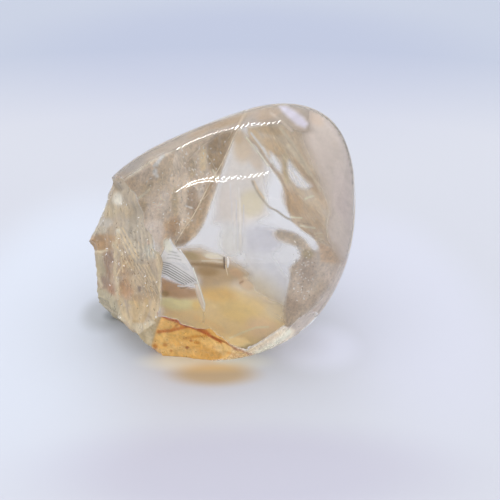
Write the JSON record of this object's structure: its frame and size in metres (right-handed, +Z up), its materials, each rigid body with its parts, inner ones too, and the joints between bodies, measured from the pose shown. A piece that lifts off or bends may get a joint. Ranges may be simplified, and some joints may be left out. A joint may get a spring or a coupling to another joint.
{
  "type": "rutilated quartz freeform",
  "caption": "Polished freeform of clear smoky quartz with golden rutile needles, one side left broken, standing on a cut base.",
  "frame": {"origin": "on the cut base, under the middle that the stone's flats are measured from, 28 mm up", "axes": "+Z up from the cut base, -Y the front, which shows the window into the stone, +X the high right shoulder; the left side, -X, is broken"},
  "size_m": [0.0684, 0.0529, 0.0625],
  "materials": {
    "smoky_quartz": "polished, with the left side and two chips left broken"
  },
  "bodies": {
    "root": {"rutilated_quartz": "smoky_quartz"}
  },
  "joints": []
}
